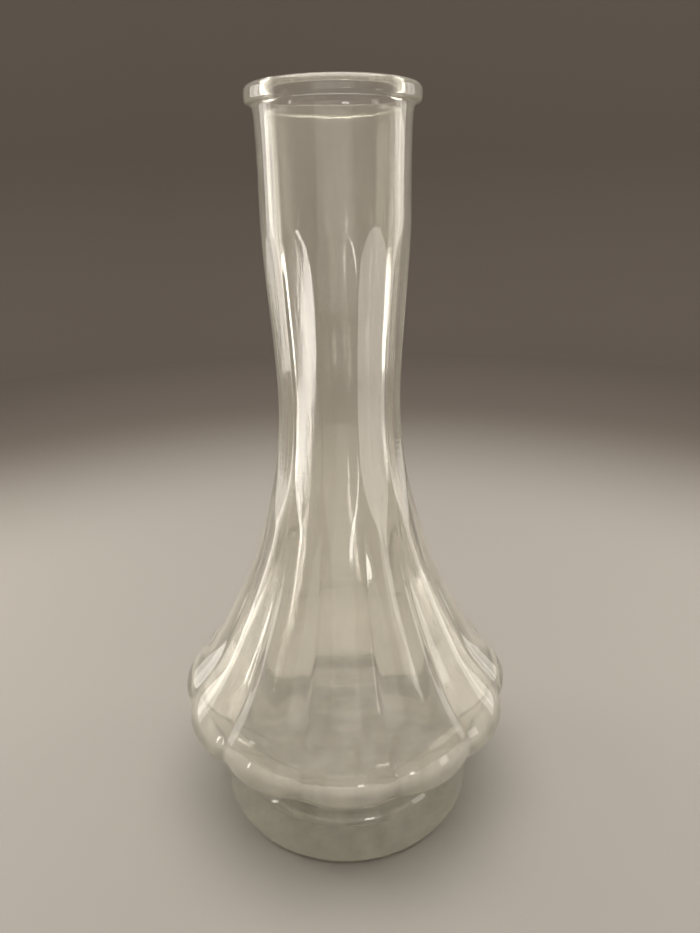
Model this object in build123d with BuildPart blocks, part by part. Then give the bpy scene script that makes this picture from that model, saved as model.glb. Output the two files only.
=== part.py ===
"""Glass bud vase: one hollow glass moulding, made zone by zone.

Lengths are in millimetres. The vase stands on the plane z = 0 with its axis on Z. Twelve panels run up
its wall, and one of them faces -Y. Each is a convex lobe at the bulb, with a groove on either side, and
a flat on the neck, with a ridge on either side. Neighbouring zones meet face to face on level planes,
because in the glass they are one piece.
"""

import math
import os

from build123d import *

os.makedirs("parts", exist_ok=True)

# Heights of the zones, from the resting face up
height = 216.0
bead_z = 211.6
collar_z = 186.5
waist_z = 137.0
shoulder_z = 62.0
foot_z = 19.5
floor_z = 8.0

# Round wall of the neck, which the flats leave standing as ridges
neck_top_r = 20.1
neck_mid_r = 19.8
neck_mid_z = 199.0
collar_r = 19.9
ridge_stations = [(collar_r, collar_z), (19.85, 178.0), (19.1, 164.0), (18.1, 148.0)]
waist_r = 17.8

# Bore of the neck: a true cylinder under the mouth, then a taper to the waist
mouth_r = 17.0
mouth_land_z = 198.0
bore_stations = [(16.6, 182.0), (15.6, 164.0), (14.6, 148.0)]

# Bead round the mouth
bead_r = 22.25
bead_under_round = 1.2
bead_top_round = 1.8
bead_inner_round = 1.4

# Panels: distance of a flat from the axis at each height, above and below which it runs out of the wall
panel_count = 12
panel_angle = 360.0 / panel_count
flat_stations = [
    (26.4, 92.0),
    (22.0, 104.0),
    (18.55, 120.0),
    (17.2, waist_z),
    (17.5, 148.0),
    (18.45, 164.0),
    (19.0, 172.0),
    (19.5, 179.0),
    (20.3, collar_z),
]
cutter_reach = 30.0
cutter_half_width = 8.0

# Wall below the waist: height, radius at the crest of a lobe, depth of the groove beside it, and glass
# thickness in the groove
wall_stations = [
    (waist_z, waist_r, 0.05, 3.45),
    (120.0, 19.15, 0.05, 3.6),
    (104.0, 22.05, 0.2, 3.4),
    (85.0, 27.7, 1.1, 3.1),
    (shoulder_z, 38.6, 2.0, 3.0),
    (50.0, 46.5, 2.5, 3.0),
    (43.0, 52.3, 2.7, 3.0),
    (38.5, 53.1, 2.4, 3.2),
    (33.5, 50.7, 2.1, 3.5),
    (28.5, 45.8, 1.8, 3.8),
    (24.0, 41.0, 1.0, 3.8),
    (foot_z, 36.4, 0.05, 2.95),
]
wall_levels = 36

# Foot
foot_rest_r = 39.2
foot_r = 41.35
foot_belly_z = 5.5
foot_shoulder_r = 40.1
foot_shoulder_z = 14.0
well_round = 3.0
push_up_r = 31.0
push_up_depth = 1.5


def wall_at(z):
    """Crest radius, groove depth and glass thickness at height z, on smooth curves through the stations."""
    rows = sorted(wall_stations)
    k = min(sum(row[0] <= z for row in rows), len(rows) - 1)
    low, high = rows[k - 1], rows[k]
    before, after = rows[max(k - 2, 0)], rows[min(k + 1, len(rows) - 1)]
    gap = high[0] - low[0]
    t = (z - low[0]) / gap
    values = []
    for column in (1, 2, 3):
        low_slope = (high[column] - before[column]) / (high[0] - before[0]) * gap
        high_slope = (after[column] - low[column]) / (after[0] - low[0]) * gap
        values.append(
            low[column] * (2 * t**3 - 3 * t**2 + 1)
            + low_slope * (t**3 - 2 * t**2 + t)
            + high[column] * (3 * t**2 - 2 * t**3)
            + high_slope * (t**3 - t**2)
        )
    return values


def lobed_outline(crest_r, groove_depth):
    """Adds to the open line one arc for each lobe; the arcs meet in the grooves."""
    groove_r = crest_r - groove_depth
    half = math.radians(panel_angle / 2)
    for k in range(panel_count):
        middle = math.radians(panel_angle * k)
        start, end = [
            (groove_r * math.cos(middle + side * half), groove_r * math.sin(middle + side * half))
            for side in (-1, 1)
        ]
        crest = (crest_r * math.cos(middle), crest_r * math.sin(middle))
        ThreePointArc(start, crest, end)


def close_to_axis(curve):
    """Joins a curve's two ends to the Z axis, so that the open line closes into a half section."""
    low, high = sorted([curve @ 0, curve @ 1], key=lambda end: end.Y)
    Polyline(low, (0, low.Y), (0, high.Y), high)


# Sections of the wall below the waist, evenly spaced, and the round inner wall that follows them
level_step = (waist_z - foot_z) / (wall_levels - 1)
levels = [waist_z - k * level_step for k in range(wall_levels)]
sections = [(z, *wall_at(z)) for z in levels]
inner_wall = [(crest_r - groove_depth - glass, z) for z, crest_r, groove_depth, glass in sections]
well_r = inner_wall[-1][0]

# The space inside, from the floor in the foot to above the mouth
with BuildPart() as cavity:
    with BuildSketch(Plane.XZ):
        with BuildLine():
            side = Spline(
                [(mouth_r, mouth_land_z)] + bore_stations + inner_wall,
                tangents=[(0, -1), (-1, -1)],
            )
            Line(side @ 0, (mouth_r, height + 1))
            Polyline((mouth_r, height + 1), (0, height + 1), (0, floor_z), (well_r, floor_z), side @ 1)
        make_face()
    revolve(axis=Axis.Z)
    fillet(cavity.edges().group_by(Axis.Z)[0], well_round)

# The glass that one flat takes away, over the lobe that faces +X
with BuildPart() as flat_cutter:
    with BuildSketch(Plane.XZ):
        with BuildLine():
            flat = Spline(flat_stations)
            Polyline(flat @ 1, (cutter_reach, (flat @ 1).Y), (cutter_reach, (flat @ 0).Y), flat @ 0)
        make_face()
    extrude(amount=cutter_half_width, both=True)

# Outer form between the foot and the waist, hollowed, before it is parted into bulb and shoulder; the
# short bands between sections are ruled, which holds the profile true where it turns in to the foot
with BuildPart() as lower_wall:
    for z, crest_r, groove_depth, _ in sections:
        with BuildSketch(Plane.XY.offset(z)):
            with BuildLine():
                lobed_outline(crest_r, groove_depth)
            make_face()
    loft(ruled=True)
    with PolarLocations(0, panel_count):
        add(flat_cutter.part, mode=Mode.SUBTRACT)
    add(cavity.part, mode=Mode.SUBTRACT)

# Lobed bulb: twelve convex lobes between the foot and the shoulder line
with BuildPart() as lobed_bulb:
    add(lower_wall.part)
    split(bisect_by=Plane.XY.offset(shoulder_z), keep=Keep.BOTTOM)
lobed_bulb.part.label = "lobed_bulb"
export_step(lobed_bulb.part, "parts/lobed_bulb.step")

# Flared shoulder: the lobes fade into flats, and the grooves between them into ridges
with BuildPart() as flared_shoulder:
    add(lower_wall.part)
    split(bisect_by=Plane.XY.offset(shoulder_z), keep=Keep.TOP)
flared_shoulder.part.label = "flared_shoulder"
export_step(flared_shoulder.part, "parts/flared_shoulder.step")

# Panelled neck: the round wall with twelve flats that run out under the collar
with BuildPart() as panelled_neck:
    with BuildSketch(Plane.XZ):
        with BuildLine():
            close_to_axis(Spline(ridge_stations + [(waist_r, waist_z)]))
        make_face()
    revolve(axis=Axis.Z)
    with PolarLocations(0, panel_count):
        add(flat_cutter.part, mode=Mode.SUBTRACT)
    add(cavity.part, mode=Mode.SUBTRACT)
panelled_neck.part.label = "panelled_neck"
export_step(panelled_neck.part, "parts/panelled_neck.step")

# Neck collar: the smooth round wall between the panels and the bead
with BuildPart() as neck_collar:
    with BuildSketch(Plane.XZ):
        with BuildLine():
            close_to_axis(Spline((collar_r, collar_z), (neck_mid_r, neck_mid_z), (neck_top_r, bead_z)))
        make_face()
    revolve(axis=Axis.Z)
    add(cavity.part, mode=Mode.SUBTRACT)
neck_collar.part.label = "neck_collar"
export_step(neck_collar.part, "parts/neck_collar.step")

# Rim bead: the rounded ring that stiffens the mouth
with BuildPart() as rim_bead:
    with BuildSketch(Plane.XZ) as bead_section:
        with Locations((mouth_r, bead_z)):
            Rectangle(bead_r - mouth_r, height - bead_z, align=(Align.MIN, Align.MIN))
        fillet(bead_section.vertices().group_by(Axis.Y)[-1].sort_by(Axis.X)[-1], bead_top_round)
        fillet(bead_section.vertices().group_by(Axis.Y)[-1].sort_by(Axis.X)[0], bead_inner_round)
        fillet(bead_section.vertices().group_by(Axis.Y)[0].sort_by(Axis.X)[-1], bead_under_round)
    revolve(axis=Axis.Z)
rim_bead.part.label = "rim_bead"
export_step(rim_bead.part, "parts/rim_bead.step")

# Whole foot: outer form with the well of the cavity taken out, before it is parted at the floor
with BuildPart() as foot:
    with BuildSketch(Plane.XZ):
        with BuildLine():
            close_to_axis(
                Spline(
                    (foot_rest_r, 0),
                    (foot_r, foot_belly_z),
                    (foot_shoulder_r, foot_shoulder_z),
                    (wall_stations[-1][1], foot_z),
                    tangents=[(1, 0.2), (-1, 1)],
                )
            )
        make_face()
    revolve(axis=Axis.Z)
    add(cavity.part, mode=Mode.SUBTRACT)

# Foot ring: the hollow upper part of the foot
with BuildPart() as foot_ring:
    add(foot.part)
    split(bisect_by=Plane.XY.offset(floor_z), keep=Keep.TOP)
foot_ring.part.label = "foot_ring"
export_step(foot_ring.part, "parts/foot_ring.step")

# Base heel: the thick floor of the vase, with a shallow push-up inside its resting ring
dome_r = (push_up_r**2 + push_up_depth**2) / (2 * push_up_depth)
with BuildPart() as base_heel:
    add(foot.part)
    split(bisect_by=Plane.XY.offset(floor_z), keep=Keep.BOTTOM)
    with Locations((0, 0, push_up_depth - dome_r)):
        Sphere(dome_r, mode=Mode.SUBTRACT)
base_heel.part.label = "base_heel"
export_step(base_heel.part, "parts/base_heel.step")
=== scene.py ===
"""Glass bud vase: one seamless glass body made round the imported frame, in a plain studio.

Shapes are worked out in millimetres, with the axis on Z and the resting face at z = 0, and turned into
metres when the meshes are made.
"""

import math

import bmesh
import bpy
import numpy as np
from mathutils import Matrix, Vector


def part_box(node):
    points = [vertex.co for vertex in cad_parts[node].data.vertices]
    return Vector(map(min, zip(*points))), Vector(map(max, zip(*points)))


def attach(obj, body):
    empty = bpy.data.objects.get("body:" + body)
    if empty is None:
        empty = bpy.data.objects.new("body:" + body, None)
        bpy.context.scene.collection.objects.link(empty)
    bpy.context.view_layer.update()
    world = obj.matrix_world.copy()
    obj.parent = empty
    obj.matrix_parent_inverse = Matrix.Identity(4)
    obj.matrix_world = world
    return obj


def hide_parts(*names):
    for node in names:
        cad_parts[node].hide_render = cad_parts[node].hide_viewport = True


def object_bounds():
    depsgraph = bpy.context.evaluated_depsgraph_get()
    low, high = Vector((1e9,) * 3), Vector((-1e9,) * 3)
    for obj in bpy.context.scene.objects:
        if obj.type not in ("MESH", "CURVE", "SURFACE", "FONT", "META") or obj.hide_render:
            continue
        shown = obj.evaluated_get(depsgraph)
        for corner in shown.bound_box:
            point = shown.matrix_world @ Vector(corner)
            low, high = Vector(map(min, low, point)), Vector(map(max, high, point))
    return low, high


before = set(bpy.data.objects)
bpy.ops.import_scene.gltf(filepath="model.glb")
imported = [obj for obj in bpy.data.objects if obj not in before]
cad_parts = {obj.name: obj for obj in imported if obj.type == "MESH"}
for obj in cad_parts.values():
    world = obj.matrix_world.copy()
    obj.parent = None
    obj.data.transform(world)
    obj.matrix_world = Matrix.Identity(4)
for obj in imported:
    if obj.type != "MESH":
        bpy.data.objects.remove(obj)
cad_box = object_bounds()

MM = 0.001

# Heights and radii that the frame gives
height = cad_box[1].z / MM
bead_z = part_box("rim_bead")[0][2] / MM
bead_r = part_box("rim_bead")[1][0] / MM
collar_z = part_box("neck_collar")[0][2] / MM
waist_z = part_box("panelled_neck")[0][2] / MM
foot_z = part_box("lobed_bulb")[0][2] / MM
floor_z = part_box("foot_ring")[0][2] / MM

# ---------------------------------------------------------------------------------------------- outlines


def curve_through(*stations):
    """A natural cubic spline through (height, value) pairs, level beyond its ends."""
    z, v = np.array(sorted(stations), float).T
    gap = np.diff(z)
    system = np.eye(len(z))
    turn = np.zeros(len(z))
    for k in range(1, len(z) - 1):
        system[k, k - 1 : k + 2] = gap[k - 1], 2 * (gap[k - 1] + gap[k]), gap[k]
        turn[k] = 6 * ((v[k + 1] - v[k]) / gap[k] - (v[k] - v[k - 1]) / gap[k - 1])
    bend = np.linalg.solve(system, turn)

    def value(at):
        at = np.clip(at, z[0], z[-1])
        k = np.clip(np.searchsorted(z, at) - 1, 0, len(z) - 2)
        low = (z[k + 1] - at) / gap[k]
        high = 1 - low
        curved = (low**3 - low) * bend[k] + (high**3 - high) * bend[k + 1]
        return low * v[k] + high * v[k + 1] + curved * gap[k] ** 2 / 6

    return value


# Radius at the middle of a panel before the flats are taken off it, from the foot up to the bead
crest = curve_through(
    (foot_z, 36.4), (24.0, 41.0), (28.5, 45.8), (33.5, 50.7), (38.5, 53.1), (43.0, 52.3), (50.0, 46.5),
    (62.0, 38.6), (85.0, 27.7), (104.0, 22.05), (120.0, 19.15), (waist_z, 17.8), (148.0, 18.1),
    (164.0, 19.1), (178.0, 19.85), (collar_z, 19.9), (199.0, 19.8), (bead_z, 20.1),
)
# Depth of the groove between two lobes; there is none on the neck
groove = curve_through(
    (foot_z, 0.0), (24.0, 1.0), (28.5, 1.8), (33.5, 2.1), (38.5, 2.4), (43.0, 2.6), (50.0, 2.5),
    (62.0, 2.0), (85.0, 1.1), (104.0, 0.2), (118.0, 0.0),
)
# How far a flat lies inside that radius; below zero it lies outside the wall
flat_depth = curve_through(
    (85.0, -0.8), (96.0, -0.3), (104.0, 0.1), (112.0, 0.45), (120.0, 0.6), (waist_z, 0.6), (164.0, 0.65),
    (172.0, 0.6), (179.0, 0.35), (182.0, 0.1), (collar_z, -0.4), (192.0, -1.0),
)
# Thickness of the glass in a groove, or under a ridge
glass = curve_through(
    (foot_z, 3.0), (28.5, 3.8), (38.5, 3.2), (62.0, 3.0), (104.0, 3.4), (120.0, 3.6), (waist_z, 3.5),
    (148.0, 3.5), (164.0, 3.5), (182.0, 3.3), (199.0, 2.8), (bead_z, 3.1),
)

PANELS = 12
half = math.pi / PANELS  # half the turn of one panel
STEPS = 22  # columns of the mesh for each panel
COLUMNS = PANELS * STEPS
CROWD = 0.5  # how much closer the columns stand at the middles and edges of the panels
GROOVE_SOFT, INNER_SOFT = 0.12, 0.5  # rounding at the bottom of a groove, as a part of its depth
RIDGE_SOFT = 0.05  # rounding of a ridge

# Place of each column within its panel, then its turn from -Y and its turn from the panel's middle
turn_part = np.arange(COLUMNS) % STEPS / STEPS
turn_part = turn_part - CROWD * np.sin(4 * math.pi * turn_part) / (4 * math.pi)
theta = (np.arange(COLUMNS) // STEPS + turn_part) * 2 * half
from_middle = np.minimum(turn_part, 1 - turn_part) * 2 * half


def lobed(mid, deep, soft):
    """Radii of a section of one arc for each panel, which reaches mid and meets the next one deep below."""
    deep = max(deep, 1e-3)
    corner = mid - deep
    centre = (mid**2 - corner**2) / (2 * (mid - corner * math.cos(half)))
    arc_r = mid - centre
    own, next_one = [
        centre * np.cos(t) + np.sqrt(arc_r**2 - (centre * np.sin(t)) ** 2)
        for t in (from_middle, 2 * half - from_middle)
    ]
    blend = soft * deep
    return np.logaddexp(own / blend, next_one / blend) * blend


def outer(z):
    """Radii of the outer wall: the smaller of the lobed round and the flats, blended at the ridges."""
    round_part = lobed(crest(z), groove(z), GROOVE_SOFT)
    flat_part = (crest(z) - flat_depth(z)) / np.cos(from_middle)
    return -np.logaddexp(-round_part / RIDGE_SOFT, -flat_part / RIDGE_SOFT) * RIDGE_SOFT


# Slow waves round the inner wall, where the glass was free to draw: count, phase, wander, depth
RIPPLES = ((5, 0.4, 0.3, 0.09), (11, 1.9, -0.4, 0.05), (19, 4.1, 0.5, 0.035), (31, 2.6, -0.4, 0.012))
RIPPLE_RISE = 23.0

FILL = 0.8  # how far the inner wall evens out the lobes


def ripple(z):
    """Vertical streaks of the inner wall that wander a little with height."""
    return sum(
        depth * np.sin(count * theta + phase + wander * math.sin(z / RIPPLE_RISE + count))
        for count, phase, wander, depth in RIPPLES
    )


def inner_middle(z):
    """Inner radius at the middle of a panel."""
    return crest(z) - glass(z) - FILL * groove(z)


def inner(z):
    """Radii of the inner wall; its waves fade out at the mouth and in the foot."""
    fade = np.clip((height - 4 - z) / 12, 0, 1) * np.clip((z - foot_z) / 8, 0, 1)
    return lobed(inner_middle(z), (1 - FILL) * groove(z), INNER_SOFT) + fade * ripple(z)


def evenly(curve, low, high, step):
    """Heights from low to high, spaced by about step along the curve's outline."""
    fine = np.linspace(low, high, 4000)
    walk = np.hypot(np.diff(fine), np.diff(curve(fine)))
    walk = np.r_[0, np.cumsum(walk)]
    count = max(2, round(walk[-1] / step))
    return np.interp(np.linspace(0, walk[-1], count + 1), walk, fine)


def along(points, step):
    """Points about step apart on a smooth curve through the points."""
    pts = np.array(points, float)
    walk = np.r_[0, np.cumsum(np.hypot(*np.diff(pts, axis=0).T))]
    at = np.linspace(0, walk[-1], max(2, round(walk[-1] / step)) + 1)
    return [curve_through(*zip(walk, pts[:, c]))(at) for c in (0, 1)]


def arc(centre_r, centre_z, radius, start, end, count):
    """Radii and heights along an arc between two angles in degrees."""
    turns = np.radians(np.linspace(start, end, count))
    return centre_r + radius * np.cos(turns), centre_z + radius * np.sin(turns)


# ------------------------------------------------------------------------------------------------ the body

# Radii and height of each level, from the middle of the underside round to the middle of the floor
rows = []


def add_round(radii, heights):
    """Adds a circle for each radius and height."""
    for r, z in zip(radii, heights):
        rows.append((np.full(COLUMNS, max(float(r), 1e-3)), float(z)))


def add_wall(shape, levels):
    """Adds a section of the wall at each height."""
    for z in levels:
        rows.append((shape(z), z))


# Underside: a shallow dome inside the resting ring, which runs from push_up_r to foot_rest_r
push_up_r, push_up, foot_rest_r = 31.0, 1.5, 39.2
dome_r = (push_up_r**2 + push_up**2) / (2 * push_up)
dome = np.linspace(0, push_up_r, 22)
add_round(dome, push_up - dome_r + np.sqrt(dome_r**2 - dome**2))
add_round(np.linspace(push_up_r + 0.8, foot_rest_r - 0.6, 8), np.zeros(8))

# Foot
foot_outline = [
    (foot_rest_r, 0), (40.6, 1.2), (41.35, 5.5), (41, 10), (40.1, 14), (38.4, 17.6), (36.4, foot_z)
]
foot_r, foot_h = along(foot_outline, 0.8)
add_round(foot_r[:-1], foot_h[:-1])

# Bulb, shoulder and neck, with closer levels where the flats run out under the collar
run_out_z, collar_round_z = 178.0, 190.0
add_wall(outer, evenly(crest, foot_z, run_out_z, 1.35)[:-1])
add_wall(outer, evenly(crest, run_out_z, collar_round_z, 0.6)[:-1])
add_wall(outer, evenly(crest, collar_round_z, bead_z - 0.6, 1.6))

# Bead: the radii of its three rounds, and the bore it stands round
under, over, lip = 1.2, 1.8, 1.4
mouth_r = 17.0
add_round([20.5, 20.9], [bead_z] * 2)
add_round(*arc(bead_r - under, bead_z + under, under, -80, 0, 7))
add_round(*arc(bead_r - over, height - over, over, 0, 90, 9))
add_round([19.8, 19.2, 18.6], [height] * 3)
add_round(*arc(mouth_r + lip, height - lip, lip, 90, 180, 8))

# Bore and inner wall
add_wall(inner, evenly(inner_middle, waist_z, height - 2.4, 1.6)[::-1])
add_wall(inner, evenly(inner_middle, foot_z, waist_z, 1.6)[-2::-1])

# Well in the foot and its floor
well_round = 3.0
well_r = rows[-1][0][0]
drop = np.linspace(foot_z - 0.8, floor_z + well_round + 0.5, 8)
add_round([well_r] * len(drop), drop)
add_round(*arc(well_r - well_round, floor_z + well_round, well_round, 0, -90, 8))
inside = np.linspace(well_r - well_round - 1, 0, 22)
add_round(inside, [floor_z] * len(inside))

radii = np.array([r for r, z in rows])
levels = np.array([[z] for r, z in rows])
places = np.stack(
    [radii * np.sin(theta), -radii * np.cos(theta), np.repeat(levels, COLUMNS, axis=1)], axis=-1
)
# Softens the corners where one outline meets the next
for _ in range(2):
    places[1:-1] = (places[:-2] + 2 * places[1:-1] + places[2:]) / 4

# Faces between neighbouring levels, and a small disc that closes each end
index = np.arange(places.shape[0] * COLUMNS).reshape(-1, COLUMNS)
below, above = index[:-1], index[1:]
quads = np.stack([below, np.roll(below, -1, 1), np.roll(above, -1, 1), above], axis=-1).reshape(-1, 4)
faces = quads.tolist() + [index[0][::-1].tolist(), index[-1].tolist()]
mesh = bpy.data.meshes.new("vase_glass")
mesh.from_pydata((places.reshape(-1, 3) * MM).tolist(), [], faces)
mesh.polygons.foreach_set("use_smooth", [True] * len(faces))
vase = bpy.data.objects.new("vase_glass", mesh)
bpy.context.scene.collection.objects.link(vase)
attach(vase, "root")
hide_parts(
    "rim_bead",
    "neck_collar",
    "panelled_neck",
    "flared_shoulder",
    "lobed_bulb",
    "foot_ring",
    "base_heel",
)


# ---------------------------------------------------------------------------------------------- material

# Lengths here are in metres
GLASS_TONE = (1.0, 0.97, 0.91)
GLASS_IOR = 1.52
DEPTH_TONE, DEPTH_DENSITY = (0.84, 0.95, 0.74), 13.0
STREAK_SCALE, STREAK_STRETCH, STREAK_DETAIL = 150.0, 0.12, 4.0
GRAIN_SCALE, GRAIN_DETAIL, GRAIN_BUMP = 900.0, 2.0, 0.12
STREAK_RANGE = (0.3, 0.7)  # the noise values between which the film goes from thinnest to thickest
FILM = (0.12, 0.26)  # part of the light that the film scatters, at its thinnest and thickest
ROUGHNESS = (0.03, 0.09)
SCUFF, SCUFF_TOP = 0.10, 0.016  # film added by scuffs at the resting face, and the height where they end
BUMP = 0.00004


def glass_material():
    """Soda glass, faintly green in its depth, with a thin streaky film and scuffs round the foot."""
    m = bpy.data.materials.new("soda_glass")
    m.use_nodes = True
    nodes, links = m.node_tree.nodes, m.node_tree.links
    shader = nodes["Principled BSDF"]
    shader.inputs["Base Color"].default_value = (*GLASS_TONE, 1)
    shader.inputs["IOR"].default_value = GLASS_IOR
    where = nodes.new("ShaderNodeTexCoord")

    def noise(scale, stretch, detail):
        """Noise over the object's own coordinates, scaled by stretch along the axis."""
        place = nodes.new("ShaderNodeMapping")
        place.inputs["Scale"].default_value = (1, 1, stretch)
        links.new(where.outputs["Object"], place.inputs["Vector"])
        texture = nodes.new("ShaderNodeTexNoise")
        texture.inputs["Scale"].default_value = scale
        texture.inputs["Detail"].default_value = detail
        links.new(place.outputs[0], texture.inputs["Vector"])
        return texture.outputs[0]

    def spread(value, low, high, to_low, to_high):
        """Maps the range low..high of a value to to_low..to_high, and no further."""
        node = nodes.new("ShaderNodeMapRange")
        for socket, number in zip(node.inputs[1:5], (low, high, to_low, to_high)):
            socket.default_value = number
        links.new(value, node.inputs[0])
        return node.outputs[0]

    def combine(operation, a, b):
        """A math node on two inputs, each a number or another node's output."""
        node = nodes.new("ShaderNodeMath")
        node.operation = operation
        for socket, value in zip(node.inputs, (a, b)):
            if isinstance(value, float):
                socket.default_value = value
            else:
                links.new(value, socket)
        return node.outputs[0]

    streaks = noise(STREAK_SCALE, STREAK_STRETCH, STREAK_DETAIL)
    grain = noise(GRAIN_SCALE, 1.0, GRAIN_DETAIL)
    split = nodes.new("ShaderNodeSeparateXYZ")
    links.new(where.outputs["Object"], split.inputs[0])
    scuffs = spread(split.outputs["Z"], SCUFF_TOP, 0.0, 0.0, SCUFF)
    film = combine("ADD", spread(streaks, *STREAK_RANGE, *FILM), combine("MULTIPLY", scuffs, grain))
    links.new(combine("SUBTRACT", 1.0, film), shader.inputs["Transmission Weight"])
    links.new(spread(streaks, *STREAK_RANGE, *ROUGHNESS), shader.inputs["Roughness"])
    bump = nodes.new("ShaderNodeBump")
    bump.inputs["Distance"].default_value = BUMP
    bump.inputs["Strength"].default_value = 1.0
    links.new(combine("ADD", streaks, combine("MULTIPLY", grain, GRAIN_BUMP)), bump.inputs["Height"])
    links.new(bump.outputs[0], shader.inputs["Normal"])
    absorb = nodes.new("ShaderNodeVolumeAbsorption")
    absorb.inputs["Color"].default_value = (*DEPTH_TONE, 1)
    absorb.inputs["Density"].default_value = DEPTH_DENSITY
    links.new(absorb.outputs[0], nodes["Material Output"].inputs["Volume"])
    return m


mesh.materials.append(glass_material())

# ------------------------------------------------------------------------------------------------ camera

cam_data = bpy.data.cameras.new("camera")
cam = bpy.data.objects.new("camera", cam_data)
bpy.context.scene.collection.objects.link(cam)
bpy.context.scene.camera = cam
SENSOR = 36.0
FOCAL = 0.7492  # focal length as a part of the picture's longer side
CAMERA_BACK, CAMERA_UP = 0.9051, 0.8830  # the camera's place, as parts of the vase's height
CAMERA_TURNS = (0.80, 21.26, -0.93)  # yaw, pitch down and roll in degrees

cam_data.sensor_width = SENSOR
cam_data.lens = SENSOR * FOCAL
cam_data.clip_start = 0.01
yaw, pitch, roll = (math.radians(a) for a in CAMERA_TURNS)
forward = Vector((math.sin(yaw) * math.cos(pitch), math.cos(yaw) * math.cos(pitch), -math.sin(pitch)))
level = Vector((math.cos(yaw), -math.sin(yaw), 0))
upward = level.cross(forward)
side = level * math.cos(roll) + upward * math.sin(roll)
top = upward * math.cos(roll) - level * math.sin(roll)
stand = Matrix.Translation((0, -CAMERA_BACK * height * MM, CAMERA_UP * height * MM))
cam.matrix_world = stand @ Matrix((side, top, -forward)).transposed().to_4x4()

# ------------------------------------------------------------------------------------------------- studio


def turned(name, outline, material, sides=96, capped=False):
    """A stage surface turned round the axis from an outline of (radius, height) in metres."""
    me = bpy.data.meshes.new(name)
    bm = bmesh.new()
    rings = []
    for r, z in outline:
        ring = [
            bm.verts.new((r * math.cos(2 * math.pi * k / sides), r * math.sin(2 * math.pi * k / sides), z))
            for k in range(sides)
        ]
        rings.append(ring)
    for low, high in zip(rings, rings[1:]):
        for k in range(sides):
            j = (k + 1) % sides
            bm.faces.new((low[k], low[j], high[j], high[k])).smooth = True
    if capped:
        bm.faces.new(rings[0][::-1])
    bm.to_mesh(me)
    bm.free()
    ob = bpy.data.objects.new(name, me)
    bpy.context.scene.collection.objects.link(ob)
    me.materials.append(material)


FLOOR_TONE = (0.40, 0.38, 0.35)
WALL_TONE = (0.17, 0.145, 0.125)
PAINTED_FALLOFF = (0.22, 0.48)  # distances from the vase between which the floor's tone turns into the wall's, a painted fall-off of light round the vase
PAPER_ROUGHNESS = 0.9
floor_reach, sweep, wall_top = 0.70, 0.25, 1.3
floor_gap = 0.0002  # keeps the floor clear of the resting face


def paper_with_painted_falloff(name):
    """Pale round the vase, with a painted fall-off of light towards the backdrop's own darker tone."""
    m = bpy.data.materials.new(name)
    m.use_nodes = True
    nodes, links = m.node_tree.nodes, m.node_tree.links
    shader = nodes["Principled BSDF"]
    shader.inputs["Roughness"].default_value = PAPER_ROUGHNESS
    where = nodes.new("ShaderNodeTexCoord")
    away = nodes.new("ShaderNodeVectorMath")
    away.operation = "LENGTH"
    ramp = nodes.new("ShaderNodeValToRGB")
    ramp.color_ramp.interpolation = "EASE"
    near, far = ramp.color_ramp.elements
    near.position, far.position = PAINTED_FALLOFF
    near.color = (*FLOOR_TONE, 1)
    far.color = (*WALL_TONE, 1)
    links.new(where.outputs["Object"], away.inputs[0])
    links.new(away.outputs["Value"], ramp.inputs[0])
    links.new(ramp.outputs[0], shader.inputs["Base Color"])
    return m


# One paper for floor and backdrop: a painted pool of light round the vase fades into the backdrop's darker
# tone
stage_paper = paper_with_painted_falloff("stage_paper")
turned("floor", [(r, -floor_gap) for r in (0.01, 0.1, 0.25, 0.45, floor_reach)], stage_paper, capped=True)
sweep_outline = [
    (floor_reach + sweep * math.sin(a), sweep * (1 - math.cos(a)) - floor_gap)
    for a in np.radians(np.linspace(0, 90, 12))
]
turned("backdrop", sweep_outline + [(floor_reach + sweep, wall_top)], stage_paper)


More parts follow.
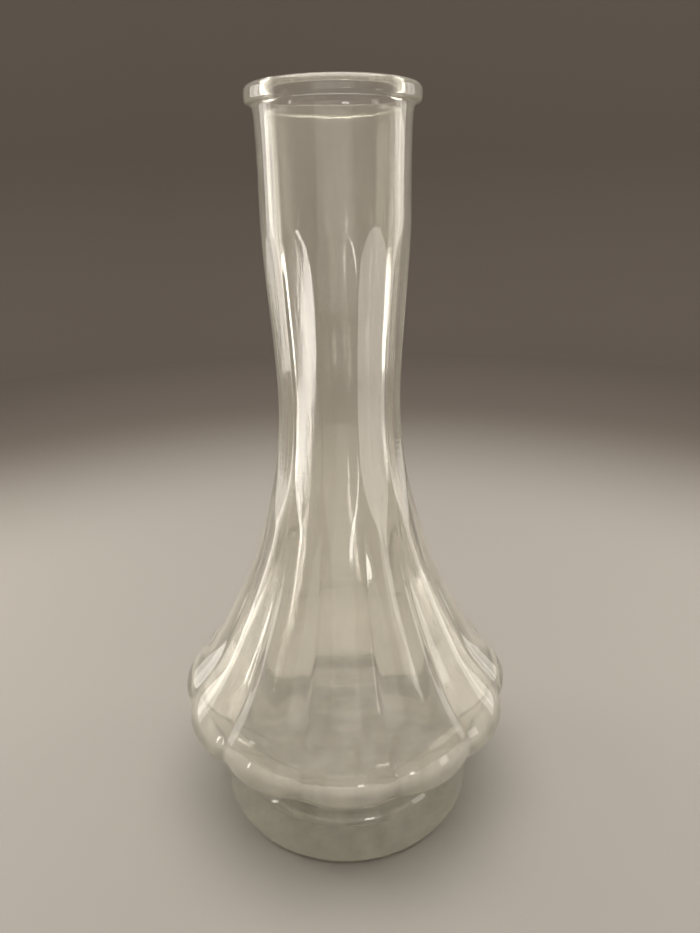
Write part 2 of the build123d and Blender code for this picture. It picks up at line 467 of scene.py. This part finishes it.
LIGHT_TONE = (1, 0.95, 0.88)
WORLD_TONE, WORLD_STRENGTH = (0.9, 0.87, 0.82), 0.5


def softbox(name, place, size, power, aim=(0, 0, 0.11), turn=0):
    """A rectangular light at a place, aimed at a point and turned about that line by degrees."""
    lamp = bpy.data.lights.new(name, "AREA")
    lamp.shape = "RECTANGLE"
    lamp.size, lamp.size_y = size
    lamp.energy = power
    lamp.color = LIGHT_TONE
    ob = bpy.data.objects.new(name, lamp)
    ob.location = place
    facing = (Vector(aim) - Vector(place)).to_track_quat("-Z", "Y").to_matrix()
    ob.rotation_euler = (facing @ Matrix.Rotation(math.radians(turn), 3, "Z")).to_euler()
    bpy.context.scene.collection.objects.link(ob)


# Narrow boxes draw the lines along the ridges, the glows behind them the broad soft light at the sides,
# and the cards the patches on the two front flats
softbox("left_softbox", (-0.41, 0.14, 0.19), (0.07, 0.36), 0.19)
softbox("left_glow", (-0.43, 0.16, 0.19), (0.24, 0.37), 0.65)
softbox("left_card", (-0.371, -0.206, 0.070), (0.018, 0.12), 0.085, aim=(0, 0, 0.15), turn=-8)
softbox("right_softbox", (0.41, 0.13, 0.19), (0.025, 0.36), 0.05)
softbox("right_glow", (0.43, 0.15, 0.19), (0.20, 0.37), 0.50)
softbox("right_card", (0.364, -0.215, 0.075), (0.09, 0.13), 0.12, aim=(0, 0, 0.15))
softbox("overhead", (0, 0, 0.95), (0.9, 0.9), 8.5)
softbox("front_fill", (0, -0.52, 0.16), (0.50, 0.30), 0.38)
softbox("window", (0.16, -0.54, 0.08), (0.07, 0.06), 0.16)

world = bpy.data.worlds.new("world")
bpy.context.scene.world = world
world.use_nodes = True
world.node_tree.nodes["Background"].inputs["Color"].default_value = (*WORLD_TONE, 1)
world.node_tree.nodes["Background"].inputs["Strength"].default_value = WORLD_STRENGTH

# Light passes many walls of glass before it leaves the vase
scene = bpy.context.scene
scene.cycles.max_bounces = 24
scene.cycles.transmission_bounces = 24
scene.cycles.glossy_bounces = 24
scene.cycles.diffuse_bounces = 6
scene.view_settings.view_transform = "Standard"
